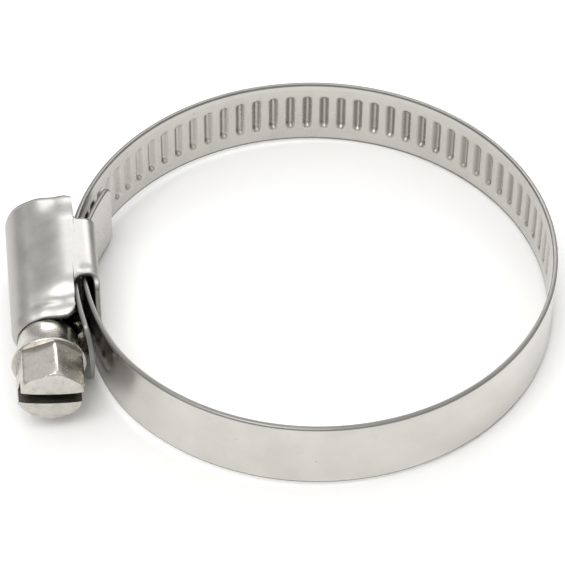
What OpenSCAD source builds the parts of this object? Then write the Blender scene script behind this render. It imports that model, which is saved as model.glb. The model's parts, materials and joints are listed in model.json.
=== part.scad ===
// Worm-drive hose clamp: one pressed strip, one formed housing and one worm screw.
// The loop's axis is +Z and the origin is the loop's centre. The housing sits at -X
// and the screw lies along Y, with its head towards -Y.

/* [Loop] */
// Inner radius of the loop, where the hose sits
hose_r = 26.8; // [24:0.2:30]
// Width of the strip
band_w = 9; // [8:0.5:12]
// Thickness of the strip
band_t = 0.65; // [0.5:0.05:0.8]
// Gap between the strip's two layers in the housing
layer_gap = 0.1; // [0.05:0.05:0.2]
// Angle by which the fixed end's tongue reaches past the housing's middle
tongue_angle = 29; // [24:1:32]
// Length of the straight tail
tail_l = 5; // [4.8:0.1:5.6]

/* [Serrations] */
// Distance between neighbouring ridges, which is also the worm's pitch
pitch = 2.15; // [2:0.05:2.4]
// Length of a ridge across the strip
ridge_l = 5.3; // [4.5:0.1:6]
// Height of a ridge above the strip's outer face
ridge_h = 0.5; // [0.4:0.05:0.55]
// Ridges between the housing's middle and the end of the tail
ridges_tail = 5; // [4:1:5]
// Ridges between the housing's middle and the place where the tail leaves the loop and runs straight
ridges_curved = 3; // [2:1:3]
// Ridges between the housing's middle and the plain half of the strip
ridges_loop = 43; // [36:1:44]

/* [Screw] */
// Width of the hexagon across its flats
hex_af = 7; // [6:0.5:8]
// Diameter of the collar behind the hexagon
collar_d = 8.5; // [8:0.1:9]
// Largest radius of the worm's thread
thread_r = 2.9; // [2.7:0.05:3]
// Depth of the thread
thread_h = 0.6; // [0.5:0.05:0.65]
// Width of the screwdriver slot
slot_w = 1.5; // [1.2:0.1:1.8]

/* [Housing] */
// Thickness of the housing's sheet
sheet_t = 0.8; // [0.7:0.05:0.9]
// Length of the part that wraps the strip, on the tongue's side
wrap_back = 6.8; // [6.4:0.1:7.6]
// Length of the part that wraps the strip, on the head's side
wrap_front = 3.1; // [2.8:0.1:3.6]

/* [Hidden] */
$fn = 96;

fit = 0.05;                              // radial clearance of the screw's journals
step = band_t + layer_gap;               // how far the strip climbs in one round of the loop
inner_r = hose_r;                        // inner face of the fixed end
middle_r = hose_r + step / 2;            // inner face of the half circle opposite the housing
outer_r = hose_r + step;                 // inner face of the free end
ridge_top = outer_r + band_t + ridge_h;
clear_r = ridge_top + 0.25;              // everything on the strip's outer side starts here
mesh_r = ridge_top - 0.2;                // where the thread meets the ridges
ridge_step = pitch / mesh_r * 180 / PI;  // angle between ridges
split_angle = 180 - 22.5 * ridge_step;    // the middle meets the free end between two ridges

screw_x = -(outer_r + band_t + 0.1 + thread_r);
bore_r = thread_r + 0.25;
barrel_r = bore_r + sheet_t;
barrel_back = 11.9;                      // ends of the housing and of the screw's stretches, along Y
barrel_front = -6.9;
crimp_y = -5.5;
thread_back = 9.9;
thread_front = -4.7;
flare_y = -7.2;
collar_y = -10.3;
hex_y = -10.9;
hex_end = -15.1;
head_end = -15.9;
neck_r = 2.3;
tip_r = 1.6;

wall_z = band_w / 2 + 0.1;               // inner face of the wrap's two side walls
wrap_z = wall_z + sheet_t;
saddle_x = sheet_t - sqrt(pow(hose_r, 2) - pow(wrap_back, 2));  // flat face of the wrap, towards the hose
tail_angle = (ridges_curved + 0.5) * ridge_step;  // where the tail begins
tail_round = 6;                          // radius of the tail's end, seen from the housing
ridge_foot = 0.52;                       // half widths of a ridge along the strip
ridge_crest = 0.26;
pocket_foot = 0.45;                      // and of the pocket behind it
pocket_crest = 0.18;
pocket_floor = 0.1;                      // strip left over a pocket
pocket_inset = 0.3;                      // a pocket is shorter than its ridge at both ends
cone_front_r = 3.7;                      // the neck widens towards the collar
cone_back_r = 3.2;
slot_depth = 2.1;
head_taper = 1.6;                        // the hexagon's end face is narrower by this
wrap_foot = 2.4;                         // where the wrap's flat walls begin, from the screw's axis
end_gap = 0.4;                           // the bore stops this far short of the end wall's inner face
root = 0.2;                              // parts that are joined overlap by this
over = 1;                                // cutters reach past what they cut by this
inset = 0.02;                            // a stretch that ends inside the next one is this much smaller all round
eps = 0.01;

// A stretch of strip, from angle a0 to angle a1 about its own centre
module strip(r, a0, a1, w = band_w, t = band_t) {
    rotate([0, 0, a0])
        rotate_extrude(angle = a1 - a0)
            translate([r, -w / 2]) square([t, w]);
}

// Ridges on the outer face of a strip of inner radius r, at the angles in the list
module ridges(r, angles) {
    for (a = angles) rotate([0, 0, a]) translate([r + band_t, 0, -ridge_l / 2])
        linear_extrude(height = ridge_l)
            polygon([[-root, -ridge_foot], [ridge_h, -ridge_crest],
                     [ridge_h, ridge_crest], [-root, ridge_foot]]);
}

// The pockets behind those ridges
module pockets(r, angles) {
    depth = band_t - pocket_floor;
    for (a = angles) rotate([0, 0, a]) translate([r, 0, -ridge_l / 2 + pocket_inset])
        linear_extrude(height = ridge_l - 2 * pocket_inset)
            polygon([[-root, -pocket_foot], [depth, -pocket_crest],
                     [depth, pocket_crest], [-root, pocket_foot]]);
}

// The angles of the ridges between a0 and a1
function ridge_angles(a0, a1) = [
    for (i = [-ridges_loop + 1 : ridges_tail])
        let (a = 180 + i * ridge_step)
        if (a > a0 && a < a1) a
];

// An outline in X and Z, drawn out along Y
module along_y(y0, y1) {
    translate([0, y1, 0]) rotate([90, 0, 0])
        linear_extrude(height = y1 - y0) children();
}

module screw_cylinder(r, y0, y1) {
    translate([screw_x, y1, 0]) rotate([90, 0, 0]) cylinder(r = r, h = y1 - y0);
}

module screw_cone(r0, r1, y0, y1) {
    translate([screw_x, y1, 0]) rotate([90, 0, 0]) cylinder(r1 = r1, r2 = r0, h = y1 - y0);
}

// Outline of the sheet where it runs from the barrel over the strip's edges, at offset t inwards
module wrap_outline(t, right) {
    for (side = [0, 1]) mirror([0, side])
        polygon([[screw_x, 0], [screw_x, barrel_r - t], [screw_x + wrap_foot, wrap_z - t],
                 [right, wrap_z - t], [right, 0]]);
}

module housing() {
    color("silver") difference() {
        union() {
            difference() {
                screw_cylinder(barrel_r, barrel_front, barrel_back);
                cylinder(r = clear_r, h = 4 * band_w, center = true);
            }
            along_y(-wrap_front, wrap_back) wrap_outline(0, saddle_x);
        }
        along_y(-wrap_front - over, wrap_back + over) wrap_outline(sheet_t, saddle_x - sheet_t);
        screw_cylinder(bore_r, crimp_y, barrel_back - sheet_t - end_gap);
        screw_cylinder(neck_r + fit, barrel_front - over, crimp_y + eps);
        screw_cylinder(tip_r + fit, 0, barrel_back + over);
    }
}

module band_fixed_end() {
    color("gainsboro") strip(inner_r, 180 - tongue_angle, 270);
}

// The half circle opposite the housing lies between the strip's two layers, so its centre is half a step back
module half_circle() {
    translate([0, step / 2, 0]) children();
}

module band_middle() {
    angles = ridge_angles(-90, split_angle);
    color("gainsboro") half_circle() difference() {
        union() {
            strip(middle_r, -90, split_angle);
            ridges(middle_r, angles);
        }
        pockets(middle_r, angles);
    }
}

// What the straight tail's ridges and pockets have in common: each stands where the angle in the list puts it
module along_tail(angles) {
    place = outer_r * PI / 180;          // along the strip, per degree
    for (a = angles) translate([0, (a - 180 - tail_angle) * place, 0]) children();
}

// The straight tail, whose end is rounded across the strip
module tail() {
    angles = ridge_angles(180 + tail_angle, 360);
    rotate([0, 0, 180 + tail_angle]) intersection() {
        difference() {
            union() {
                translate([outer_r + inset, -root, -band_w / 2 + inset])
                    cube([band_t - 2 * inset, tail_l + root, band_w - 2 * inset]);
                along_tail(angles) ridges(outer_r, [0]);
            }
            along_tail(angles) pockets(outer_r, [0]);
        }
        translate([0, tail_l - tail_round, 0]) rotate([0, 90, 0]) cylinder(r = tail_round, h = 2 * hose_r);
    }
}

module band_free_end() {
    loop_angles = ridge_angles(split_angle, 90);
    end_angles = ridge_angles(90, 180 + tail_angle);
    color("gainsboro") union() {
        difference() {
            union() {
                half_circle() {
                    strip(middle_r + inset, split_angle, 90.5, band_w - 2 * inset, band_t - 2 * inset);
                    ridges(middle_r, loop_angles);
                }
                strip(outer_r, 90, 180 + tail_angle);
                ridges(outer_r, end_angles);
            }
            half_circle() pockets(middle_r, loop_angles);
            pockets(outer_r, end_angles);
        }
        tail();
    }
}

module thread() {
    length = thread_back - thread_front;
    turns = length / pitch;
    translate([screw_x, thread_front, 0]) rotate([-90, 0, 0])
        linear_extrude(height = length, twist = -360 * turns, slices = ceil(20 * turns), $fn = 24)
            rotate([0, 0, 180 + 360 * thread_front / pitch])
                translate([thread_h / 2, 0]) circle(r = thread_r - thread_h / 2);
}

module hex_head() {
    translate([screw_x, hex_y, 0]) rotate([90, 0, 0]) intersection() {
        cylinder(d = hex_af / cos(30), h = hex_y - head_end, $fn = 6);
        union() {
            cylinder(d = hex_af / cos(30), h = hex_y - hex_end);
            translate([0, 0, hex_y - hex_end - eps])
                cylinder(d1 = hex_af / cos(30), d2 = hex_af - head_taper, h = hex_end - head_end + eps);
        }
    }
}

module worm_screw() {
    color("lightgray") difference() {
        union() {
            thread();
            screw_cylinder(tip_r, thread_back - root, barrel_back);
            screw_cylinder(neck_r, flare_y, thread_front + root);
            screw_cone(cone_front_r, cone_back_r, collar_y, flare_y);
            screw_cylinder(collar_d / 2, hex_y, collar_y);
            hex_head();
        }
        translate([screw_x - hex_af, head_end - over, -slot_w / 2])
            cube([2 * hex_af, slot_depth + over, slot_w]);
    }
}

housing();
band_fixed_end();
band_middle();
band_free_end();
worm_screw();
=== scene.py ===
import bpy
import bmesh
import json
import math
from mathutils import Vector, Matrix


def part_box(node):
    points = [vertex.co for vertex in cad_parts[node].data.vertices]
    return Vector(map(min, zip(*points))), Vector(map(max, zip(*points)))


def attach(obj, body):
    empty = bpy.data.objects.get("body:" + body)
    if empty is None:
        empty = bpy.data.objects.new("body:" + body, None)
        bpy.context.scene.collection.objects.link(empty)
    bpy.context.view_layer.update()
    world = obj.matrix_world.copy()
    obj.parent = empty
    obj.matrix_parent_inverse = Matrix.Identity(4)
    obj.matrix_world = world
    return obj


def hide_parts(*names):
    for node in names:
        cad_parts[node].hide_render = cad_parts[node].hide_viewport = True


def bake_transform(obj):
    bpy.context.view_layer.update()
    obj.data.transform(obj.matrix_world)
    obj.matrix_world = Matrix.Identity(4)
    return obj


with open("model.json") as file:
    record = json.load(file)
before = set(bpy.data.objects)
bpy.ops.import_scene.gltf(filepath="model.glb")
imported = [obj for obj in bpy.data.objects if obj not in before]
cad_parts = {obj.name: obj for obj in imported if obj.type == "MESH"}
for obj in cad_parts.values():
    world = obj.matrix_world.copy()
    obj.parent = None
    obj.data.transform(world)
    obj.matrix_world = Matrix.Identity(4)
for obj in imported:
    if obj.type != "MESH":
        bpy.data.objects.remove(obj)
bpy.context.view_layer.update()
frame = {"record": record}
mm = 0.001
record = frame["record"]
seat = next(m for m in record["mounts"] if m["name"] == "hose_seat")
screwLow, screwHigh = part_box("worm_screw")
housingLow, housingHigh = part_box("housing")
screwX = (screwLow.x + screwHigh.x) / 2
print("frame loaded")


def smooth(t):
    t = min(max(t, 0.0), 1.0)
    return t * t * (3 - 2 * t)


def between(value, low, high):
    return smooth((value - low) / (high - low))


def newObject(name, mesh):
    piece = bpy.data.objects.new(name, mesh)
    bpy.context.scene.collection.objects.link(piece)
    return piece


def meshFrom(name, vertices, faces):
    mesh = bpy.data.meshes.new(name)
    mesh.from_pydata([tuple(v) for v in vertices], [], faces)
    mesh.update()
    return mesh


def bakeModifiers(piece):
    graph = bpy.context.evaluated_depsgraph_get()
    mesh = bpy.data.meshes.new_from_object(piece.evaluated_get(graph))
    piece.modifiers.clear()
    piece.data = mesh
    return piece


def outwardNormals(mesh):
    shape = bmesh.new()
    shape.from_mesh(mesh)
    bmesh.ops.recalc_face_normals(shape, faces=shape.faces)
    shape.to_mesh(mesh)
    shape.free()


def shadeSmooth(mesh, degrees):
    mesh.polygons.foreach_set("use_smooth", [True] * len(mesh.polygons))
    mesh.set_sharp_from_angle(angle=math.radians(degrees))


# a ring of points for each (distance along Y, radius) about the screw's axis
def turned(name, outline, sides=96, closedRing=False):
    vertices, faces = [], []
    for y, radius in outline:
        for i in range(sides):
            a = 2 * math.pi * i / sides
            vertices.append((screwX + radius * math.cos(a), y, radius * math.sin(a)))
    rings = len(outline)
    for r in range(rings if closedRing else rings - 1):
        n = (r + 1) % rings
        for i in range(sides):
            j = (i + 1) % sides
            faces.append((r * sides + i, r * sides + j, n * sides + j, n * sides + i))
    if not closedRing:
        faces.append(tuple(range(sides)))
        faces.append(tuple(reversed(range((rings - 1) * sides, rings * sides))))
    mesh = meshFrom(name, vertices, faces)
    outwardNormals(mesh)
    return mesh


# a material's node tree, built up one named step at a time
class Recipe:
    def __init__(self, name):
        self.material = bpy.data.materials.new(name)
        self.material.use_nodes = True
        self.nodes = self.material.node_tree.nodes
        self.links = self.material.node_tree.links
        self.shader = self.nodes["Principled BSDF"]

    def node(self, kind, links=None, **settings):
        made = self.nodes.new(kind)
        for key, value in settings.items():
            setattr(made, key, value)
        for socket, source in (links or {}).items():
            self.links.new(source, made.inputs[socket])
        return made

    def coordinates(self, source, scale):
        place = self.node("ShaderNodeTexCoord").outputs[source]
        mapping = self.node("ShaderNodeMapping", {"Vector": place})
        mapping.inputs["Scale"].default_value = scale
        return mapping.outputs["Vector"]

    def attribute(self, name):
        return self.node("ShaderNodeAttribute", attribute_name=name).outputs["Fac"]

    def noise(self, vector, scale, detail, roughness=0.55):
        made = self.node("ShaderNodeTexNoise", {"Vector": vector}, noise_dimensions="3D")
        made.inputs["Scale"].default_value = scale
        made.inputs["Detail"].default_value = detail
        made.inputs["Roughness"].default_value = roughness
        return made.outputs["Fac"]

    def ramp(self, source, stops):
        made = self.node("ShaderNodeValToRGB", {"Fac": source})
        elements = made.color_ramp.elements
        while len(elements) < len(stops):
            elements.new(0.5)
        for element, (position, colour) in zip(elements, stops):
            element.position = position
            element.color = (*colour, 1)
        return made.outputs["Color"]

    # roughness that follows the middle of a noise's range
    def follow(self, source, rough):
        made = self.node("ShaderNodeMapRange", {"Value": source})
        for key, value in zip(("From Min", "From Max", "To Min", "To Max"), (0.3, 0.7, *rough)):
            made.inputs[key].default_value = value
        return made.outputs["Result"]

    def multiply(self, first, second, strength):
        made = self.node("ShaderNodeMix", data_type="RGBA", blend_type="MULTIPLY")
        made.inputs[0].default_value = strength
        self.links.new(first, made.inputs[6])
        self.links.new(second, made.inputs[7])
        return made.outputs[2]

    def bump(self, height, strength, distance, normal=None):
        made = self.node("ShaderNodeBump", {"Height": height})
        made.inputs["Strength"].default_value = strength
        made.inputs["Distance"].default_value = distance
        if normal is not None:
            self.links.new(normal, made.inputs["Normal"])
        return made.outputs["Normal"]

    def finish(self, colour, roughness, normal):
        self.shader.inputs["Metallic"].default_value = 1.0
        for socket, source in (("Base Color", colour), ("Roughness", roughness), ("Normal", normal)):
            self.links.new(source, self.shader.inputs[socket])
        return self.material


stripFinish = {
    "outside": (0.67, 0.655, 0.62),
    "outsideRoughness": (0.10, 0.20),
    "outsideGrain": 0.10,
    "inside": (0.61, 0.595, 0.565),
    "insideRoughness": (0.24, 0.36),
    "insideGrain": 0.20,
    "edge": (0.27, 0.265, 0.25),         # sheared, so darker
    "edgeRoughness": (0.30, 0.45),
    "edgeGrain": 0.25,
    "stain": 0.90,                       # share of the colour left in a stain
    "speck": (0.55, 0.52, 0.48),
    "paintedGrooveShade": (0.30, 0.28, 0.26),    # painted shade darkening each groove's far wall
}


# cold-rolled strip: a fine grain along its length, faint cloudy stains, a few specks and painted shade on the
# grooves' far walls
def stripSteel(side):
    colour, plan = stripFinish[side], stripFinish
    recipe = Recipe("strip" + side.capitalize())
    along = recipe.coordinates("UV", (12, 300, 1))
    cloud = recipe.coordinates("Object", (1, 1, 1))
    lines = recipe.noise(along, 6, 3, 0.6)
    stains = recipe.noise(cloud, 160, 5, 0.6)
    specks = recipe.noise(cloud, 1500, 2, 0.5)
    stained = tuple(c * plan["stain"] for c in colour)
    tone = recipe.ramp(stains, [(0.35, stained), (0.65, colour)])
    speckTone = recipe.ramp(specks, [(0.22, plan["speck"]), (0.27, (1, 1, 1))])
    tone = recipe.multiply(tone, speckTone, 0.6)
    # painted shade: each groove's far wall is darkened by the stored shade attribute
    wallShadeTone = recipe.ramp(recipe.attribute("pressed"), [(0, (1, 1, 1)), (1, plan["paintedGrooveShade"])])
    tone = recipe.multiply(tone, wallShadeTone, 1.0)
    rough = recipe.follow(stains, plan[side + "Roughness"])
    return recipe.finish(tone, rough, recipe.bump(lines, plan[side + "Grain"], 0.02 * mm))


housingFinish = {
    "dull": (0.43, 0.42, 0.40),
    "bright": (0.50, 0.495, 0.475),
    "dent": (0.55, 0.53, 0.50),
    "roughness": (0.36, 0.46),
    # painted shade: the inner faces are near black where shade falls inside the housing, varying in random
    # patches
    "insideShadeDark": (0.035, 0.033, 0.03),
    "insideShadeLight": (0.10, 0.095, 0.09),
    "insideRoughness": (0.40, 0.60),
}


# tumbled sheet: satin, with cloudy patches, shallow dimples and pin-prick dents
def tumbledSheet():
    recipe = Recipe("tumbledSheet")
    place = recipe.coordinates("Object", (1, 1, 1))
    patches = recipe.noise(place, 420, 5, 0.6)
    grain = recipe.noise(place, 5200, 3, 0.6)
    dents = recipe.noise(place, 1300, 1, 0.4)
    tone = recipe.ramp(patches, [(0.30, housingFinish["dull"]), (0.70, housingFinish["bright"])])
    dentTone = recipe.ramp(dents, [(0.16, housingFinish["dent"]), (0.22, (1, 1, 1))])
    tone = recipe.multiply(tone, dentTone, 0.5)
    rough = recipe.follow(patches, housingFinish["roughness"])
    normal = recipe.bump(patches, 0.25, 0.12 * mm)
    normal = recipe.bump(grain, 0.12, 0.02 * mm, normal)
    return recipe.finish(tone, rough, normal)


# the housing's inner side: blank from the press, with painted shade making it near black in random patches
def shadedInsideSheet():
    recipe = Recipe("shadedInsideSheet")
    place = recipe.coordinates("Object", (1, 1, 1))
    patches = recipe.noise(place, 600, 5, 0.6)
    tone = recipe.ramp(patches, [(0.30, housingFinish["insideShadeDark"]), (0.70, housingFinish["insideShadeLight"])])
    rough = recipe.follow(patches, housingFinish["insideRoughness"])
    return recipe.finish(tone, rough, recipe.bump(patches, 0.3, 0.06 * mm))


screwFinish = {
    "ringDull": (0.50, 0.48, 0.45),
    "ringBright": (0.66, 0.64, 0.60),
    "turnedRoughness": (0.20, 0.32),
    "headStain": (0.40, 0.37, 0.32),
    "headDull": (0.54, 0.52, 0.48),
    "headBright": (0.62, 0.60, 0.57),
    "headRoughness": (0.34, 0.22),
    # painted shade: the slot's faces are near black, a little lighter along the saw scores
    "slotShadeDark": (0.05, 0.045, 0.04),
    "slotShadeLight": (0.16, 0.15, 0.13),
    "slotRoughness": (0.45, 0.65),
}


# turned steel: fine rings round the screw's axis
def turnedSteel():
    recipe = Recipe("turnedSteel")
    rings = recipe.coordinates("Object", (60, 9000, 60))
    place = recipe.coordinates("Object", (1, 1, 1))
    lines = recipe.noise(rings, 1.0, 3, 0.7)
    patches = recipe.noise(place, 500, 4, 0.6)
    tone = recipe.ramp(lines, [(0.3, screwFinish["ringDull"]), (0.7, screwFinish["ringBright"])])
    rough = recipe.follow(patches, screwFinish["turnedRoughness"])
    return recipe.finish(tone, rough, recipe.bump(lines, 0.3, 0.03 * mm))


# cold-formed head: mottled satin with warm stains in random patches
def formedSteel():
    recipe = Recipe("formedSteel")
    place = recipe.coordinates("Object", (1, 1, 1))
    patches = recipe.noise(place, 700, 6, 0.65)
    grain = recipe.noise(place, 4200, 3, 0.6)
    tone = recipe.ramp(patches, [(0.28, screwFinish["headStain"]), (0.45, screwFinish["headDull"]),
                                 (0.70, screwFinish["headBright"])])
    rough = recipe.follow(patches, screwFinish["headRoughness"])
    normal = recipe.bump(patches, 0.3, 0.1 * mm)
    normal = recipe.bump(grain, 0.2, 0.02 * mm, normal)
    return recipe.finish(tone, rough, normal)


# cut faces of the driver slot: painted shade, near black, and scored by the saw
def sawnAndShadedSteel():
    recipe = Recipe("sawnAndShadedSteel")
    scores = recipe.coordinates("Object", (300, 4000, 4000))
    lines = recipe.noise(scores, 1.0, 4, 0.7)
    tone = recipe.ramp(lines, [(0.3, screwFinish["slotShadeDark"]), (0.75, screwFinish["slotShadeLight"])])
    rough = recipe.follow(lines, screwFinish["slotRoughness"])
    return recipe.finish(tone, rough, recipe.bump(lines, 0.5, 0.04 * mm))


stripOutside = stripSteel("outside")
stripInside = stripSteel("inside")
stripEdge = stripSteel("edge")
housingSteel = tumbledSheet()
insideShadeSheet = shadedInsideSheet()
neckSteel = turnedSteel()
headSteel = formedSteel()
slotShadeSteel = sawnAndShadedSteel()
print("steel finishes made")

stripPlan = {
    "width": 9.0 * mm,
    "thickness": 0.54 * mm,              # of the flat part, below the rolled edges
    "layerStep": 0.75 * mm,              # how far the strip climbs in one round of the loop
    "tongueTurn": math.radians(29),      # how far the fixed end reaches past the housing's middle
    "tailLength": 4.2 * mm,              # of the straight tail
    "ridgesCurved": 3,                   # from the housing's middle to the straight tail
    "flatten": 0.55 * mm,                # the fixed end runs straighter than the loop where it is clamped
    "flattenFrom": math.radians(216),
    "flattenTo": math.radians(188),
    "tongueBend": 0.45 * mm,             # its tongue is bent in
    "tongueBendFrom": math.radians(170),
    "tailPressedIn": 0.2 * mm,           # the worm keeps the free end straighter too
    "pressedFrom": 3.0 * mm,             # places along the screw
    "leantFrom": -2.0 * mm,
    "leantTo": -12.0 * mm,
    "tailLeantOut": 0.8 * mm,
    "pitch": 2.15 * mm,                  # at the worm
    "pitchHeight": 0.95 * mm,            # where the pitch is true, above the free end's inner face
    "ridgeHeight": 0.59 * mm,
    "ridgeHalfWidth": 0.66 * mm,
    "ridgeFlat": 0.10 * mm,
    "ridgeLength": 5.3 * mm,
    "ridgeEnd": 0.75 * mm,               # slope at the ends of a ridge
    "ridgesTail": 4,
    "ridgesLoop": 43,
    "lipHeight": 0.11 * mm,              # the edges roll outwards by this much
    "lipWidth": 0.95 * mm,
    "tailRound": 6.0 * mm,
    "tongueCorner": 1.1 * mm,
    "columnGap": 0.55 * mm,              # widest gap between the mesh's columns
}

fixedRadius = seat["dims"]["r_mm"] * mm
stripStep = stripPlan["layerStep"]
middleRadius = fixedRadius + stripStep / 2
freeRadius = fixedRadius + stripStep
halfWidth = stripPlan["width"] / 2
fixedTurn = math.pi / 2 + stripPlan["tongueTurn"]
fixedLength = fixedRadius * fixedTurn
middleLength = middleRadius * math.pi
meshRadius = freeRadius + stripPlan["pitchHeight"]
ridgeStep = stripPlan["pitch"] / meshRadius
tailTurn = (stripPlan["ridgesCurved"] + 0.5) * ridgeStep
tailStart = fixedLength + middleLength + freeRadius * (math.pi / 2 + tailTurn)
stripLength = tailStart + stripPlan["tailLength"]
lastRidge = 1 - stripPlan["ridgesLoop"]  # counted from the housing's middle, towards the plain half
seamTurn = math.pi * 1.5 + (lastRidge - 0.5) * ridgeStep
seamPlace = fixedLength + seamTurn * middleRadius       # the strip's two meshes meet past the last ridge


# distance along the strip's inner face of a ridge, counted from the housing's middle
def ridgePlace(i):
    angle = math.pi + i * ridgeStep
    if angle > math.pi / 2:
        return fixedLength + middleLength + (angle - math.pi / 2) * freeRadius
    return fixedLength + (angle + math.pi / 2) * middleRadius


tailRound = stripPlan["tailRound"]
tailSag = tailRound - math.sqrt(tailRound ** 2 - halfWidth ** 2)


# columns of the flat strip: close together over each ridge, no further than columnGap apart elsewhere
def stripColumns(start, end):
    ridges = [ridgePlace(i) for i in range(lastRidge, stripPlan["ridgesTail"] + 1)]
    ridges = [r for r in ridges if start + 1 * mm < r < end - 1 * mm]
    offsets = [0.10, 0.24, 0.38, 0.52, 0.66, 0.82]      # millimetres to each side of a ridge's middle
    places = {start, end, fixedLength, fixedLength + middleLength, min(tailStart, end)}
    for ridge in ridges:
        places.add(ridge)
        for offset in offsets:
            places.update((ridge - offset * mm, ridge + offset * mm))
    for corner in range(13):
        places.add(stripLength - tailSag * (corner / 12) ** 2)
        places.add(stripPlan["tongueCorner"] * (1 - math.cos(math.pi / 2 * corner / 12)))
    places = sorted(p for p in places if start <= p <= end)
    columns = [places[0]]
    for place in places[1:]:
        gap = place - columns[-1]
        pieces = max(1, math.ceil(gap / stripPlan["columnGap"]))
        if gap > 0.02 * mm:
            base = columns[-1]
            columns += [base + gap * (k + 1) / pieces for k in range(pieces)]
    return columns


# half the strip's width at a place: the tail ends in a shallow arc, the tongue in two rounded corners
def outlineAt(place):
    fromTail, corner = stripLength - place, stripPlan["tongueCorner"]
    if fromTail < tailSag:
        return math.sqrt(max(tailRound ** 2 - (tailRound - fromTail) ** 2, (0.02 * mm) ** 2))
    if place < corner:
        return halfWidth - corner + math.sqrt(max(corner ** 2 - (corner - place) ** 2, 0))
    return halfWidth


# the strip lying flat: X along it, Y across it, Z from its inner face outwards
# each face's side is 0 for the outer face, 1 for the inner face and 2 for the edge
def flatStrip(name, start, end):
    thickness = stripPlan["thickness"]
    # closest together where the ridges end and where the edges roll
    across = [0, 0.8, 1.5, 1.9, 2.1, 2.3, 2.5, 2.65, 2.9, 3.3, 3.55, 3.7, 3.82, 3.94, 4.06, 4.18]
    across = [-a * mm for a in reversed(across[1:])] + [a * mm for a in across]
    rim = [(4.30 * mm, thickness - 0.02 * mm), (4.39 * mm, thickness - 0.09 * mm),
           (4.44 * mm, thickness - 0.19 * mm), (4.49 * mm, 0.13 * mm), (4.49 * mm, 0.06 * mm), (4.44 * mm, 0)]
    section = [(y, thickness, 0) for y in across]
    section += [(y, z, 2) for y, z in rim]
    section += [(y, 0, 1) for y in reversed(across)]
    section += [(-y, z, 2) for y, z in reversed(rim)]
    columns = stripColumns(start, end)
    count = len(section)
    vertices, faces, sides = [], [], []
    for place in columns:
        share = outlineAt(place) / halfWidth
        vertices += [(place, y * share, z) for y, z, _ in section]
    for c in range(len(columns) - 1):
        for i in range(count):
            j = (i + 1) % count
            faces.append((c * count + i, (c + 1) * count + i, (c + 1) * count + j, c * count + j))
            first, second = section[i][2], section[j][2]
            sides.append(first if first == second else 2)
    faces.append(tuple(range(count)))
    faces.append(tuple(reversed(range((len(columns) - 1) * count, len(columns) * count))))
    sides += [2, 2]
    mesh = meshFrom(name, vertices, faces)
    outwardNormals(mesh)
    mesh.attributes.new("side", "INT", "FACE").data.foreach_set("value", sides)
    layer = mesh.uv_layers.new(name="stripMap")
    for loop in mesh.loops:
        place = mesh.vertices[loop.vertex_index].co
        layer.data[loop.index].uv = (place.x * 10, (place.y + place.z) * 10)
    mesh.polygons.foreach_set("use_smooth", [True] * len(mesh.polygons))
    return newObject(name, mesh)


# a Geometry Nodes tree with named inputs, built up one step at a time
class Tree:
    def __init__(self, name, inputs):
        self.tree = bpy.data.node_groups.new(name, "GeometryNodeTree")
        self.tree.interface.new_socket(name="Geometry", in_out="INPUT", socket_type="NodeSocketGeometry")
        for label in inputs:
            self.tree.interface.new_socket(name=label, in_out="INPUT", socket_type="NodeSocketFloat")
        self.tree.interface.new_socket(name="Geometry", in_out="OUTPUT", socket_type="NodeSocketGeometry")
        self.given = self.tree.nodes.new("NodeGroupInput").outputs
        self.result = self.tree.nodes.new("NodeGroupOutput").inputs["Geometry"]

    def feed(self, socket, value):
        if isinstance(value, bpy.types.NodeSocket):
            self.tree.links.new(value, socket)
        else:
            socket.default_value = value

    def node(self, kind, inputs=None, **settings):
        made = self.tree.nodes.new(kind)
        for key, value in settings.items():
            setattr(made, key, value)
        for socket, value in (inputs or {}).items():
            self.feed(made.inputs[socket], value)
        return made

    def math(self, operation, *values):
        made = self.node("ShaderNodeMath", dict(enumerate(values)), operation=operation)
        return made.outputs[0]

    def ease(self, value, low, high, newLow, newHigh):
        values = {"Value": value, "From Min": low, "From Max": high, "To Min": newLow, "To Max": newHigh}
        return self.node("ShaderNodeMapRange", values, interpolation_type="SMOOTHSTEP").outputs[0]

    def straight(self, value, low, high, newLow, newHigh):
        values = {"Value": value, "From Min": low, "From Max": high, "To Min": newLow, "To Max": newHigh}
        return self.node("ShaderNodeMapRange", values, clamp=True).outputs[0]

    def choose(self, condition, no, yes):
        made = self.node("GeometryNodeSwitch", {"Switch": condition, "False": no, "True": yes},
                         input_type="FLOAT")
        return made.outputs[0]

    def close(self, geometry, materials):
        solid = self.node("GeometryNodeRealizeInstances", {"Geometry": geometry}).outputs[0]
        for material, selection in materials:
            made = self.node("GeometryNodeSetMaterial", {"Geometry": solid, "Material": material})
            if selection is not None:
                self.feed(made.inputs["Selection"], selection)
            solid = made.outputs[0]
        self.tree.links.new(solid, self.result)
        return self.tree

    def attach(self, piece, values):
        modifier = piece.modifiers.new(self.tree.name, "NODES")
        modifier.node_group = self.tree
        for item in self.tree.interface.items_tree:
            if item.in_out == "INPUT" and item.name in values:
                modifier[item.identifier] = values[item.name]


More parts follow.
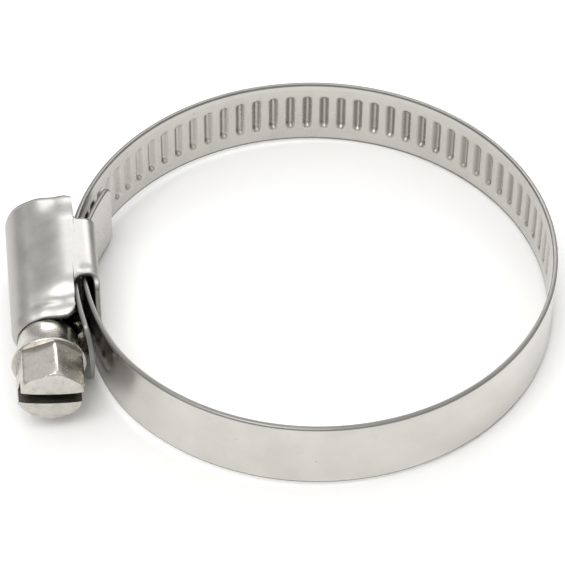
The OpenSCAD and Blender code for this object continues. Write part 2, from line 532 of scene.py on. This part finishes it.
# presses the ridges, rolls the edges and bends the flat strip into the loop's three arcs
def pressAndRoll():
    labels = ["Pitch near housing", "Pitch in middle", "First ridge", "Last ridge", "Ridge height",
              "Ridge half width", "Ridge flat", "Ridge half length", "Ridge end", "Lip height", "Lip start",
              "Half width", "Fixed radius", "Middle radius", "Free radius", "Fixed length", "Middle length",
              "Start angle", "Middle centre", "Tail start", "Flatten", "Tongue bend",
              "Tail pressed in", "Tail leant out"]
    made = Tree("pressAndRoll", labels)
    given, calc = made.given, made.math
    place = made.node("GeometryNodeInputPosition").outputs[0]
    parts = made.node("ShaderNodeSeparateXYZ", {0: place}).outputs
    along, across, outward = parts[0], parts[1], parts[2]
    freeStart = calc("ADD", given["Fixed length"], given["Middle length"])
    onMiddle = calc("GREATER_THAN", along, given["Fixed length"])
    onFree = calc("GREATER_THAN", along, freeStart)

    def perArc(fixed, middle, free):
        return made.choose(onFree, made.choose(onMiddle, fixed, middle), free)

    pitch = made.choose(onFree, given["Pitch in middle"], given["Pitch near housing"])
    anchor = made.choose(onFree, given["Last ridge"], given["First ridge"])
    fromRidge = calc("SUBTRACT", along, anchor)
    halfPitch = calc("MULTIPLY", pitch, 0.5)
    signed = calc("WRAP", fromRidge, halfPitch, calc("MULTIPLY", halfPitch, -1.0))
    nearest = calc("ABSOLUTE", signed)
    slope = made.straight(nearest, given["Ridge half width"], given["Ridge flat"], 0.0, 1.0)
    sideways = calc("ABSOLUTE", across)
    endStart = calc("SUBTRACT", given["Ridge half length"], given["Ridge end"])
    ends = made.ease(sideways, given["Ridge half length"], endStart, 0.0, 1.0)
    started = calc("GREATER_THAN", along, calc("SUBTRACT", given["Last ridge"], halfPitch))
    stopped = calc("LESS_THAN", along, calc("ADD", given["First ridge"], halfPitch))
    ridge = calc("MULTIPLY", calc("MULTIPLY", slope, ends), calc("MULTIPLY", started, stopped))
    lift = calc("MULTIPLY", ridge, given["Ridge height"])
    lip = made.ease(sideways, given["Lip start"], given["Half width"], 0.0, given["Lip height"])
    height = calc("ADD", outward, calc("ADD", lift, lip))

    radius = perArc(given["Fixed radius"], given["Middle radius"], given["Free radius"])
    arcStart = perArc(0.0, given["Fixed length"], freeStart)
    arcAngle = perArc(given["Start angle"], -math.pi / 2, math.pi / 2)
    centre = perArc(0.0, given["Middle centre"], 0.0)
    rolled = calc("MINIMUM", along, given["Tail start"])
    angle = calc("ADD", arcAngle, calc("DIVIDE", calc("SUBTRACT", rolled, arcStart), radius))
    onFixed = calc("LESS_THAN", along, given["Fixed length"])
    clamped = made.ease(angle, stripPlan["flattenFrom"], stripPlan["flattenTo"], 0.0, given["Flatten"])
    tongue = made.ease(angle, stripPlan["tongueBendFrom"], given["Start angle"], 0.0, given["Tongue bend"])
    inward = calc("MULTIPLY", calc("ADD", clamped, tongue), onFixed)
    reach = calc("SUBTRACT", calc("ADD", radius, height), inward)
    straight = calc("SUBTRACT", along, rolled)
    x = calc("SUBTRACT", calc("MULTIPLY", calc("COSINE", angle), reach),
             calc("MULTIPLY", calc("SINE", angle), straight))
    y = calc("ADD", calc("MULTIPLY", calc("SINE", angle), reach),
             calc("MULTIPLY", calc("COSINE", angle), straight))
    y = calc("ADD", centre, y)
    nearHousing = calc("MULTIPLY", onFree, calc("LESS_THAN", x, 0.0))
    pressedIn = made.ease(y, stripPlan["pressedFrom"], stripPlan["leantFrom"], 0.0, given["Tail pressed in"])
    leantOut = made.ease(y, stripPlan["leantFrom"], stripPlan["leantTo"], 0.0, given["Tail leant out"])
    x = calc("ADD", x, calc("MULTIPLY", nearHousing, calc("SUBTRACT", pressedIn, leantOut)))
    bent = made.node("ShaderNodeCombineXYZ", {0: x, 1: y, 2: across}).outputs[0]
    # painted shade: one wall of each ridge is stored for the strip's colour to darken
    farWallShade = calc("MULTIPLY", ridge, made.ease(signed, -0.15 * mm, 0.35 * mm, 0.1, 1.0))
    marked = made.node("GeometryNodeStoreNamedAttribute",
                       {"Geometry": given["Geometry"], "Name": "pressed", "Value": farWallShade},
                       data_type="FLOAT", domain="POINT").outputs[0]
    moved = made.node("GeometryNodeSetPosition", {"Geometry": marked, "Position": bent}).outputs[0]
    side = made.node("GeometryNodeInputNamedAttribute", {"Name": "side"}, data_type="INT").outputs[0]
    inside = made.node("FunctionNodeCompare", {2: side, 3: 1}, data_type="INT", operation="EQUAL").outputs[0]
    edge = made.node("FunctionNodeCompare", {2: side, 3: 2}, data_type="INT", operation="EQUAL").outputs[0]
    made.close(moved, [(stripOutside, None), (stripInside, inside), (stripEdge, edge)])
    return made


pressTree = pressAndRoll()


def strip(name, start, end):
    piece = flatStrip(name, start, end)
    pressTree.attach(piece, {
        "Pitch near housing": ridgeStep * freeRadius,
        "Pitch in middle": ridgeStep * middleRadius,
        "First ridge": ridgePlace(stripPlan["ridgesTail"]),
        "Last ridge": ridgePlace(lastRidge),
        "Ridge height": stripPlan["ridgeHeight"],
        "Ridge half width": stripPlan["ridgeHalfWidth"],
        "Ridge flat": stripPlan["ridgeFlat"],
        "Ridge half length": stripPlan["ridgeLength"] / 2,
        "Ridge end": stripPlan["ridgeEnd"],
        "Lip height": stripPlan["lipHeight"],
        "Lip start": halfWidth - stripPlan["lipWidth"],
        "Half width": halfWidth,
        "Fixed radius": fixedRadius,
        "Middle radius": middleRadius,
        "Free radius": freeRadius,
        "Fixed length": fixedLength,
        "Middle length": middleLength,
        "Start angle": math.pi - stripPlan["tongueTurn"],
        "Middle centre": stripStep / 2,
        "Tail start": tailStart,
        "Flatten": stripPlan["flatten"],
        "Tongue bend": stripPlan["tongueBend"],
        "Tail pressed in": stripPlan["tailPressedIn"],
        "Tail leant out": stripPlan["tailLeantOut"],
    })
    bakeModifiers(piece)
    shadeSmooth(piece.data, 50)
    return piece


plainStrip = strip("plainStrip", 0.0, seamPlace)
ridgedStrip = strip("ridgedStrip", seamPlace, stripLength)
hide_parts("band_fixed_end", "band_middle")
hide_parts("band_free_end")
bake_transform(plainStrip)
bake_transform(ridgedStrip)
print("strip pressed and rolled")

# spans are in millimetres past the screw's axis, along X
housingPlan = {
    "sheet": 0.72 * mm,
    "barrel": 3.95 * mm,                 # outer radius round the screw
    "barrelTop": 3.1 * mm,               # where the sheet turns down towards the barrel
    "barrelTurn": 112,                   # and where it has reached the barrel, in degrees
    "saddle": -24.8 * mm,                # the flat face towards the hose
    "fold": 1.45 * mm,                   # outer radius of the fold over the strip's edge
    "wrapFront": -3.1 * mm,
    "wrapBack": 6.8 * mm,
    "archTop": -2.0 * mm,
    "archSide": (4.5, 5.2),              # where the arch drops towards the saddle
    "archRound": 1.25 * mm,
    "wingFront": 3.5 * mm,               # the barrel's sheet reaches this far past the screw's axis
    "wingBack": 4.0 * mm,
    "wingHeight": 4.45 * mm,
    "noseRound": 0.9 * mm,
    "notchRound": 0.7 * mm,
    "runOut": 4.6 * mm,                  # the sheet comes down over this length past the strip
    "runOutStart": 0.2 * mm,
    "runOutSpan": (-1.5, 2.2),
    "foldSpan": (4.4, 5.0),              # where the fold keeps its height
    "wingSpan": (0.0, 3.5),
    "crimp": 0.87,                       # share of the barrel's radius left at its head end
    "crimpStart": -5.6 * mm,
    "crimpSpan": (4.2, 4.8),
    "rim": 0.05,                         # the far end is drawn in by this share
    "rimLength": 0.8 * mm,
    "dent": 0.42 * mm,
    "dentPlace": -4.4 * mm,
    "dentLength": 1.0 * mm,
    "dentSpans": ((-2.6, 0.2), (3.6, 4.6)),
    "edgeRound": 0.15 * mm,
    "seamGap": 0.05 * mm,
    "lip": 0.18 * mm,                    # depth of the groove behind the arch's curled lip
    "lipPlace": 0.7 * mm,
    "lipLength": 0.5 * mm,
    "lipSpan": (3.9, 4.6),
}
barrelFront, barrelBack = housingLow.y, housingHigh.y
saddleX = housingPlan["saddle"]


# from 0 to 1 as x crosses a span
def pastAxis(x, span):
    return between(x, screwX + span[0] * mm, screwX + span[1] * mm)


def pointAt(degrees, radius, centre):
    a = math.radians(degrees)
    return centre + radius * Vector((math.cos(a), math.sin(a)))


# the inner points of a curve that leaves its start and reaches its end along the two pulls
def bezier(start, startPull, endPull, end, steps):
    points = []
    for k in range(1, steps + 1):
        t = k / (steps + 1)
        points.append((1 - t) ** 3 * start + 3 * (1 - t) ** 2 * t * (start + startPull)
                      + 3 * (1 - t) * t ** 2 * (end + endPull) + t ** 3 * end)
    return points


# the same line with its points evenly spaced
def evenly(points, spacing):
    lengths = [0.0]
    for first, second in zip(points, points[1:]):
        lengths.append(lengths[-1] + (second - first).length)
    count = round(lengths[-1] / spacing)
    result, at = [], 0
    for k in range(count + 1):
        wanted = lengths[-1] * k / count
        while at < len(points) - 2 and lengths[at + 1] < wanted:
            at += 1
        share = (wanted - lengths[at]) / (lengths[at + 1] - lengths[at])
        result.append(points[at].lerp(points[at + 1], min(share, 1.0)))
    return result


# outer face of the sheet in X and Z: up the saddle, over the strip's edge, round the barrel and back below
def housingOutline():
    plan = housingPlan
    barrel, fold, turn = plan["barrel"], plan["fold"], plan["barrelTurn"]
    top, axis = housingHigh.z - 0.04 * mm, Vector((screwX, 0))
    centre = Vector((saddleX - fold, top - fold))
    points = [Vector((saddleX, plan["seamGap"])), Vector((saddleX, top - fold))]
    points += [pointAt(degrees, fold, centre) for degrees in range(5, 91, 5)]
    start, end = Vector((screwX + plan["barrelTop"], top - 0.02 * mm)), pointAt(turn, barrel, axis)
    endPull = Vector((math.sin(math.radians(turn)), -math.cos(math.radians(turn)))) * 1.9 * mm
    points.append(start)
    points += bezier(start, Vector((-1.7 * mm, 0)), endPull, end, 20)
    points += [pointAt(degrees, barrel, axis) for degrees in range(turn, 181, 4)]
    upper = evenly(points, 0.075 * mm)
    return upper + [Vector((p.x, -p.y)) for p in reversed(upper[:-1])]


# a straight edge with its two corners rounded: y goes from far to near as x passes the edge
def steppedEdge(x, edge, far, near, notch):
    nose = housingPlan["noseRound"]
    way = 1 if far > near else -1
    if x < edge - nose:
        return far
    if x < edge:
        return far - way * (nose - math.sqrt(max(nose ** 2 - (x - edge + nose) ** 2, 0)))
    if x < edge + notch:
        return near + way * (notch - math.sqrt(max(notch ** 2 - (edge + notch - x) ** 2, 0)))
    return near


# the two ends of the sheet along Y where the outline is at x and z
def housingEnds(x, z):
    plan = housingPlan
    back = steppedEdge(x, screwX + plan["wingBack"], barrelBack, plan["wrapBack"], plan["notchRound"])
    under = between(housingHigh.z - abs(z), 0.25 * mm, 2.2 * mm) * pastAxis(x, plan["archSide"])
    near = plan["archTop"] + (plan["wrapFront"] - plan["archTop"]) * under
    front = steppedEdge(x, screwX + plan["wingFront"], barrelFront, near, plan["archRound"])
    return front, back


# where the sheet has left the strip it lies lower, is dented once and is crimped round the screw's neck
def formed(x, y, z):
    plan = housingPlan
    past = max(y - plan["wrapBack"], plan["archTop"] - y) + plan["runOutStart"]
    lowered = between(past, 0, plan["runOut"]) * pastAxis(x, plan["runOutSpan"])
    lowered *= 1 - pastAxis(x, plan["foldSpan"])
    low = plan["barrel"] + (plan["wingHeight"] - plan["barrel"]) * pastAxis(x, plan["wingSpan"])
    if abs(z) > low:
        z = math.copysign(abs(z) + (low - abs(z)) * lowered, z)
    if z > 0:
        onTop, offTop = plan["dentSpans"]
        dent = math.exp(-((y - plan["dentPlace"]) / plan["dentLength"]) ** 2)
        z -= plan["dent"] * dent * pastAxis(x, onTop) * (1 - pastAxis(x, offTop))
    crimp = (1 - plan["crimp"]) * between(-y, -plan["crimpStart"], -barrelFront + 0.5 * mm)
    rim = plan["rim"] * between(y, barrelBack - plan["rimLength"], barrelBack)
    k = 1 - (crimp + rim) * (1 - pastAxis(x, plan["crimpSpan"]))
    return screwX + (x - screwX) * k, z * k


# distances along Y and depths in the sheet, once round its section
# the outer face comes first, then an edge, the inner face and the other edge
def sheetSection(front, back):
    sheet, corner = housingPlan["sheet"], housingPlan["edgeRound"]
    arc = [(corner * (1 - math.sin(math.pi / 2 * k / 5)), corner * (1 - math.cos(math.pi / 2 * k / 5)))
           for k in range(5, -1, -1)]
    face = [front + corner + (back - front - 2 * corner) * k / 70 for k in range(1, 70)]
    outer = [(front + d, deep) for d, deep in reversed(arc)] + [(y, 0) for y in face]
    outer += [(back - d, deep) for d, deep in arc]
    inner = [(back - d, sheet - deep) for d, deep in reversed(arc)] + [(y, sheet) for y in reversed(face)]
    inner += [(front + d, sheet - deep) for d, deep in arc]
    return outer, inner


def housing():
    plan = housingPlan
    outline = housingOutline()
    vertices, faces, inside = [], [], []
    for k, point in enumerate(outline):
        before, after = outline[max(k - 1, 0)], outline[min(k + 1, len(outline) - 1)]
        along = (after - before).normalized()
        inward = Vector((-along.y, along.x))
        front, back = housingEnds(point.x, point.y)
        onFold = pastAxis(point.x, plan["lipSpan"])
        outer, inner = sheetSection(front, back)
        for y, depth in outer + inner:
            x, z = formed(point.x, y, point.y)
            groove = math.exp(-((y - front - plan["lipPlace"]) / plan["lipLength"]) ** 2)
            z -= math.copysign(groove * plan["lip"] * onFold, z)
            vertices.append((x + inward.x * depth, y, z + inward.y * depth))
    count = len(outer) + len(inner)
    for c in range(len(outline) - 1):
        for r in range(count):
            n = (r + 1) % count
            faces.append((c * count + r, (c + 1) * count + r, (c + 1) * count + n, c * count + n))
            inside.append(len(outer) <= r < count - 1)
    faces += [tuple(range(count)), tuple(range((len(outline) - 1) * count, len(outline) * count))]
    mesh = meshFrom("formedHousing", vertices, faces)
    outwardNormals(mesh)
    mesh.materials.append(housingSteel)
    # the inner faces take the painted shade
    mesh.materials.append(insideShadeSheet)
    for face, dark in zip(mesh.polygons, inside):
        face.material_index = int(dark)
    return newObject("formedHousing", mesh)


wallPlan = {
    "hole": 1.72 * mm,
    "back": 0.12 * mm,                   # how far its two faces lie inside the barrel's end
    "front": 0.85 * mm,
}


# the sheet's far end is folded in to a wall with a hole for the screw's tip
def endWall():
    outer, hole = housingPlan["barrel"] * (1 - housingPlan["rim"]), wallPlan["hole"]
    back, front = barrelBack - wallPlan["back"], barrelBack - wallPlan["front"]
    outline = [(back, outer - 0.5 * mm), (back - 0.12 * mm, outer - 0.2 * mm),
               (back - 0.4 * mm, outer - 0.08 * mm), (front, outer - 0.08 * mm), (front, hole + 0.1 * mm),
               (front + 0.1 * mm, hole), (back - 0.1 * mm, hole), (back, hole + 0.1 * mm)]
    mesh = turned("endWall", outline, sides=72, closedRing=True)
    mesh.materials.append(housingSteel)
    return newObject("endWall", mesh)


def joined(first, *others):
    bpy.ops.object.select_all(action="DESELECT")
    for piece in (first, *others):
        piece.select_set(True)
    bpy.context.view_layer.objects.active = first
    bpy.ops.object.join()
    return first


shell = joined(housing(), endWall())
shadeSmooth(shell.data, 40)
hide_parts("housing")
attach(shell, "housing_and_fixed_end")
print("housing formed")

screwPlan = {
    "core": 2.3 * mm,
    "thread": 2.9 * mm,
    "threadFront": -4.7 * mm,
    "threadBack": 9.9 * mm,
    "threadRoot": 1.15 * mm,             # the thread's widths at its root and crest
    "threadCrest": 0.45 * mm,
    "threadSunk": 0.15 * mm,
    "tip": 1.6 * mm,
    "neck": 3.3 * mm,
    "neckEdge": 3.1 * mm,
    "neckFront": -6.95 * mm,
    "collar": 4.24 * mm,
    "collarBack": -10.55 * mm,
    "bell": (0.35, 2.6),                 # straight share of the bell, and how late the rest opens
    "hexStart": -10.75 * mm,
    "hexAcross": 7.0 * mm,
    "hexTurn": math.radians(78),         # where one corner points, from +X towards +Z
    "hexShoulder": -15.2 * mm,           # where the chamfer begins
    "hexChamfer": 0.3 * mm,
    "cornerEase": 0.06 * mm,
    "edgeRound": 0.07 * mm,
    "slotTurn": math.radians(5),
    "slotWidth": 1.5 * mm,
    "slotDepth": 2.1 * mm,
}
headEnd, tipEnd = screwLow.y, screwHigh.y


def shank():
    plan = screwPlan
    tip, collar, neck, back = plan["tip"], plan["collar"], plan["neck"], plan["threadBack"]
    outline = [(tipEnd, 0.9 * mm), (tipEnd - 0.15 * mm, tip - 0.1 * mm), (tipEnd - 0.35 * mm, tip),
               (back + 0.05 * mm, tip), (back, tip + 0.1 * mm), (back - 0.3 * mm, plan["core"]),
               (plan["neckFront"] + 0.05 * mm, plan["core"]), (plan["neckFront"], plan["neckEdge"])]
    # the neck spreads like a bell into the collar's rim
    straight, power = plan["bell"]
    for k in range(15):
        t = k / 14
        y = plan["neckFront"] + (plan["collarBack"] - plan["neckFront"]) * t
        outline.append((y, neck + (collar - neck) * (straight * t + (1 - straight) * t ** power)))
    front = plan["hexStart"]
    outline += [(plan["collarBack"] - 0.05 * mm, collar + 0.01 * mm), (front + 0.05 * mm, collar - 0.02 * mm),
                (front, collar - 0.08 * mm), (front, neck - 0.1 * mm)]
    return newObject("shank", turned("shank", outline))


# one trapezoid swept along the helix
def wormThread():
    labels = ["Turns", "Radius", "Start angle", "Start", "Length", "Root", "Crest", "Depth", "Axis"]
    made = Tree("wormThread", labels)
    given = made.given
    line = made.node("GeometryNodeCurvePrimitiveLine", {0: (0, 0, 0), 1: (0, 0, 1)}).outputs[0]
    fine = made.node("GeometryNodeResampleCurve", {"Curve": line, "Count": 200}).outputs[0]
    share = made.node("GeometryNodeSplineParameter").outputs["Factor"]
    soFar = made.math("MULTIPLY", share, made.math("MULTIPLY", given["Turns"], 2 * math.pi))
    angle = made.math("ADD", given["Start angle"], soFar)
    across = made.math("COSINE", angle)
    up = made.math("MULTIPLY", made.math("SINE", angle), -1.0)
    x = made.math("ADD", made.math("MULTIPLY", across, given["Radius"]), given["Axis"])
    y = made.math("ADD", given["Start"], made.math("MULTIPLY", share, given["Length"]))
    z = made.math("MULTIPLY", up, given["Radius"])
    spot = made.node("ShaderNodeCombineXYZ", {0: x, 1: y, 2: z}).outputs[0]
    helix = made.node("GeometryNodeSetPosition", {"Geometry": fine, "Position": spot}).outputs[0]
    outward = made.node("ShaderNodeCombineXYZ", {0: across, 1: 0.0, 2: up}).outputs[0]
    pointed = {"Curve": helix, "Normal": outward}
    facing = made.node("GeometryNodeSetCurveNormal", pointed, mode="FREE").outputs[0]
    profile = made.node("GeometryNodeCurvePrimitiveQuadrilateral", mode="TRAPEZOID")
    for socket, value in (("Bottom Width", given["Root"]), ("Top Width", given["Crest"]),
                          ("Height", given["Depth"]), ("Offset", 0.0)):
        made.feed(profile.inputs[socket], value)
    solid = made.node("GeometryNodeCurveToMesh", {"Curve": facing, "Profile Curve": profile.outputs[0],
                                                  "Fill Caps": True}).outputs[0]
    made.close(solid, [(neckSteel, None)])
    return made


def thread():
    piece = newObject("thread", meshFrom("thread", [(0, 0, 0)], []))
    length = screwPlan["threadBack"] - screwPlan["threadFront"]
    turns = length / stripPlan["pitch"]
    depth = screwPlan["thread"] - screwPlan["core"] + screwPlan["threadSunk"]
    wormThread().attach(piece, {
        "Turns": turns,
        "Radius": screwPlan["thread"] - depth / 2,
        "Start angle": -2 * math.pi * screwPlan["threadFront"] / stripPlan["pitch"],
        "Start": screwPlan["threadFront"],
        "Length": length,
        "Root": screwPlan["threadRoot"],
        "Crest": screwPlan["threadCrest"],
        "Depth": depth,
        "Axis": screwX,
    })
    bakeModifiers(piece)
    outwardNormals(piece.data)
    return piece


# a hexagon with its corners chamfered round and a shallow dome for its end
def hexHead():
    plan = screwPlan
    flat = plan["hexAcross"] / 2
    corner = flat / math.cos(math.pi / 6)
    start, shoulder, sides = plan["hexStart"] + 0.02 * mm, plan["hexShoulder"], 6 * 24
    rim, chamfer = corner - 1.1 * plan["hexChamfer"], shoulder - plan["hexChamfer"]
    profile = [(start, corner), (start - 1.5 * mm, corner), (start - 3.0 * mm, corner), (shoulder, corner),
               (chamfer, rim)]
    for k in range(1, 16):
        a = math.pi / 2 * k / 16
        profile.append((chamfer + (headEnd - chamfer) * math.sin(a), rim * math.cos(a)))
    shape = bmesh.new()
    rings = []
    for y, largest in profile:
        ring = []
        for i in range(sides):
            a = 2 * math.pi * i / sides
            fromFlat = (a + math.pi / 6) % (math.pi / 3) - math.pi / 6
            radius = min(flat / math.cos(fromFlat), largest, corner - plan["cornerEase"])
            turn = a + plan["hexTurn"] + math.pi / 6
            ring.append(shape.verts.new((screwX + radius * math.cos(turn), y, radius * math.sin(turn))))
        rings.append(ring)
    for first, second in zip(rings, rings[1:]):
        for i in range(sides):
            j = (i + 1) % sides
            shape.faces.new((first[i], first[j], second[j], second[i]))
    shape.faces.new(rings[0])
    shape.faces.new(list(reversed(rings[-1])))
    bmesh.ops.recalc_face_normals(shape, faces=shape.faces)
    mesh = bpy.data.meshes.new("hexHead")
    shape.to_mesh(mesh)
    shape.free()
    return newObject("hexHead", mesh)


def slotCutter():
    plan = screwPlan
    half = plan["slotWidth"] / 2
    low = Vector((screwX - 6 * mm, headEnd - 1 * mm, -half))
    high = Vector((screwX + 6 * mm, headEnd + plan["slotDepth"], half))
    shape = bmesh.new()
    bmesh.ops.create_cube(shape, size=1.0)
    for vertex in shape.verts:
        vertex.co = Vector([low[i] + (high[i] - low[i]) * (vertex.co[i] + 0.5) for i in range(3)])
    mesh = bpy.data.meshes.new("slotCutter")
    shape.to_mesh(mesh)
    shape.free()
    axis = Vector((screwX, 0, 0))
    turn = Matrix.Rotation(plan["slotTurn"], 4, "Y")
    mesh.transform(Matrix.Translation(axis) @ turn @ Matrix.Translation(-axis))
    return newObject("slotCutter", mesh)


def slottedHead():
    head, cutter = hexHead(), slotCutter()
    head.data.materials.append(headSteel)
    cutter.data.materials.append(slotShadeSteel)
    cut = head.modifiers.new("slot", "BOOLEAN")
    cut.operation = "DIFFERENCE"
    cut.solver = "EXACT"
    cut.object = cutter
    cut.material_mode = "TRANSFER"
    rounding = head.modifiers.new("rounding", "BEVEL")
    rounding.width = screwPlan["edgeRound"]
    rounding.segments = 2
    rounding.limit_method = "ANGLE"
    rounding.angle_limit = math.radians(35)
    rounding.miter_outer = "MITER_ARC"
    bakeModifiers(head)
    bpy.data.objects.remove(cutter)
    shadeSmooth(head.data, 30)
    return head


def dressed(piece, material, degrees):
    piece.data.materials.clear()
    piece.data.materials.append(material)
    shadeSmooth(piece.data, degrees)
    return piece


wormScrew = joined(dressed(shank(), neckSteel, 35), dressed(thread(), neckSteel, 35), slottedHead())
wormScrew.name = "slottedWorm"
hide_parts("worm_screw")
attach(wormScrew, "screw")
print("worm screw turned and slotted")

studio = {
    "tilt": math.radians(0.9),           # the clamp rests on its housing and on the strip's far edge
    "floor": (0.93, 0.93, 0.92),
    "floorReach": 1.2,
    "world": 1.0,
    "sky": [(0.0, (0.40, 0.40, 0.39)), (0.30, (0.52, 0.51, 0.49)),     # from the horizon to overhead
            (0.55, (0.82, 0.81, 0.80)), (0.85, (1.0, 1.0, 1.0))],
    "boxes": {                           # place, width, height and power of each soft light
        "keyLight": ((-0.25, -0.30, 0.75), 0.5, 0.5, 3.0),
        "backLight": ((0.15, 0.60, 0.45), 0.7, 0.3, 2.0),
    },
}
view = {
    "lens": 182.2,
    "sensor": 36,
    "target": (-3.805 * mm, -0.817 * mm, 0),
    "azimuth": math.radians(-6.88),
    "elevation": math.radians(46.26),
    "roll": math.radians(0.635),
    "distance": 329.1 * mm,
}


def floorLevel(x):
    return housingLow.z - 0.05 * mm + (x - screwX) * math.tan(studio["tilt"])


def floor():
    shape = bmesh.new()
    bmesh.ops.create_grid(shape, x_segments=8, y_segments=8, size=studio["floorReach"])
    for vertex in shape.verts:
        vertex.co.z = floorLevel(vertex.co.x)
    mesh = bpy.data.meshes.new("paleFloor")
    shape.to_mesh(mesh)
    shape.free()
    recipe = Recipe("paleFloor")
    recipe.shader.inputs["Roughness"].default_value = 0.8
    cloud = recipe.noise(recipe.coordinates("Object", (1, 1, 1)), 8, 2)
    tone = recipe.ramp(cloud, [(0, tuple(c * 0.98 for c in studio["floor"])), (1, studio["floor"])])
    recipe.links.new(tone, recipe.shader.inputs["Base Color"])
    mesh.materials.append(recipe.material)
    newObject("paleFloor", mesh)


def softBox(name, place, width, height, power):
    light = bpy.data.lights.new(name, "AREA")
    light.shape = "RECTANGLE"
    light.size, light.size_y, light.energy = width, height, power
    holder = newObject(name, light)
    holder.location = place
    holder.rotation_euler = (-Vector(place)).to_track_quat("-Z", "Y").to_euler()


# a bright studio: white overhead and greyer towards the horizon
def sky():
    world = bpy.data.worlds.new("studio")
    bpy.context.scene.world = world
    world.use_nodes = True
    nodes, links = world.node_tree.nodes, world.node_tree.links
    place = nodes.new("ShaderNodeTexCoord")
    parts = nodes.new("ShaderNodeSeparateXYZ")
    links.new(place.outputs["Generated"], parts.inputs[0])
    height = nodes.new("ShaderNodeValToRGB")
    elements = height.color_ramp.elements
    for k, (stop, colour) in enumerate(studio["sky"]):
        element = elements[k] if k < 2 else elements.new(stop)
        element.position = stop
        element.color = (*colour, 1)
    links.new(parts.outputs["Z"], height.inputs[0])
    background = nodes["Background"]
    links.new(height.outputs["Color"], background.inputs["Color"])
    background.inputs["Strength"].default_value = studio["world"]


def camera():
    lens = bpy.data.cameras.new("camera")
    lens.lens = view["lens"]
    lens.sensor_width = view["sensor"]
    lens.clip_start, lens.clip_end = 0.01, 10
    holder = newObject("camera", lens)
    target, azimuth, elevation = Vector(view["target"]), view["azimuth"], view["elevation"]
    away = Vector((math.sin(azimuth) * math.cos(elevation), -math.cos(azimuth) * math.cos(elevation),
                   math.sin(elevation)))
    place = target + away * view["distance"]
    facing = (target - place).to_track_quat("-Z", "Y").to_matrix().to_4x4()
    holder.matrix_world = Matrix.Translation(place) @ facing @ Matrix.Rotation(view["roll"], 4, "Z")
    bpy.context.scene.camera = holder


floor()
sky()
camera()
for name, box in studio["boxes"].items():
    softBox(name, *box)
bpy.context.scene.view_settings.view_transform = "Standard"
print("studio set")
